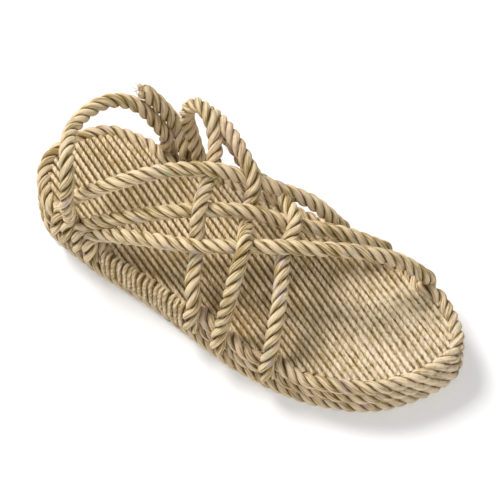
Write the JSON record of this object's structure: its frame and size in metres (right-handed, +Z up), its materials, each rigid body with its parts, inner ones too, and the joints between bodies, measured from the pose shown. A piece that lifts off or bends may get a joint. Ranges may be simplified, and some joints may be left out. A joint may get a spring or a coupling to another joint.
{
  "type": "rope sandal",
  "caption": "Right rope sandal: stacked rope sole with a ridged footbed, woven rope straps over the instep and a rope heel strap.",
  "frame": {"origin": "middle of the sole's length on the floor, under the footbed", "axes": "+Y from heel to toe, +X to the outer side of the right foot, +Z up"},
  "size_m": [0.1133, 0.2802, 0.0905],
  "materials": {
    "sole_rope": "laid tan rope, matt with a soft fibre sheen",
    "footbed_rope": "laid tan rope strands, matt",
    "strap_rope": "three-strand tan rope, matt with a soft fibre sheen"
  },
  "bodies": {
    "root": {"outsole": "sole_rope", "midsole": "sole_rope", "footbed": "footbed_rope", "rim_rope": "sole_rope", "upper": "strap_rope", "heel_strap": "strap_rope", "tie_rope": "strap_rope"}
  },
  "joints": []
}
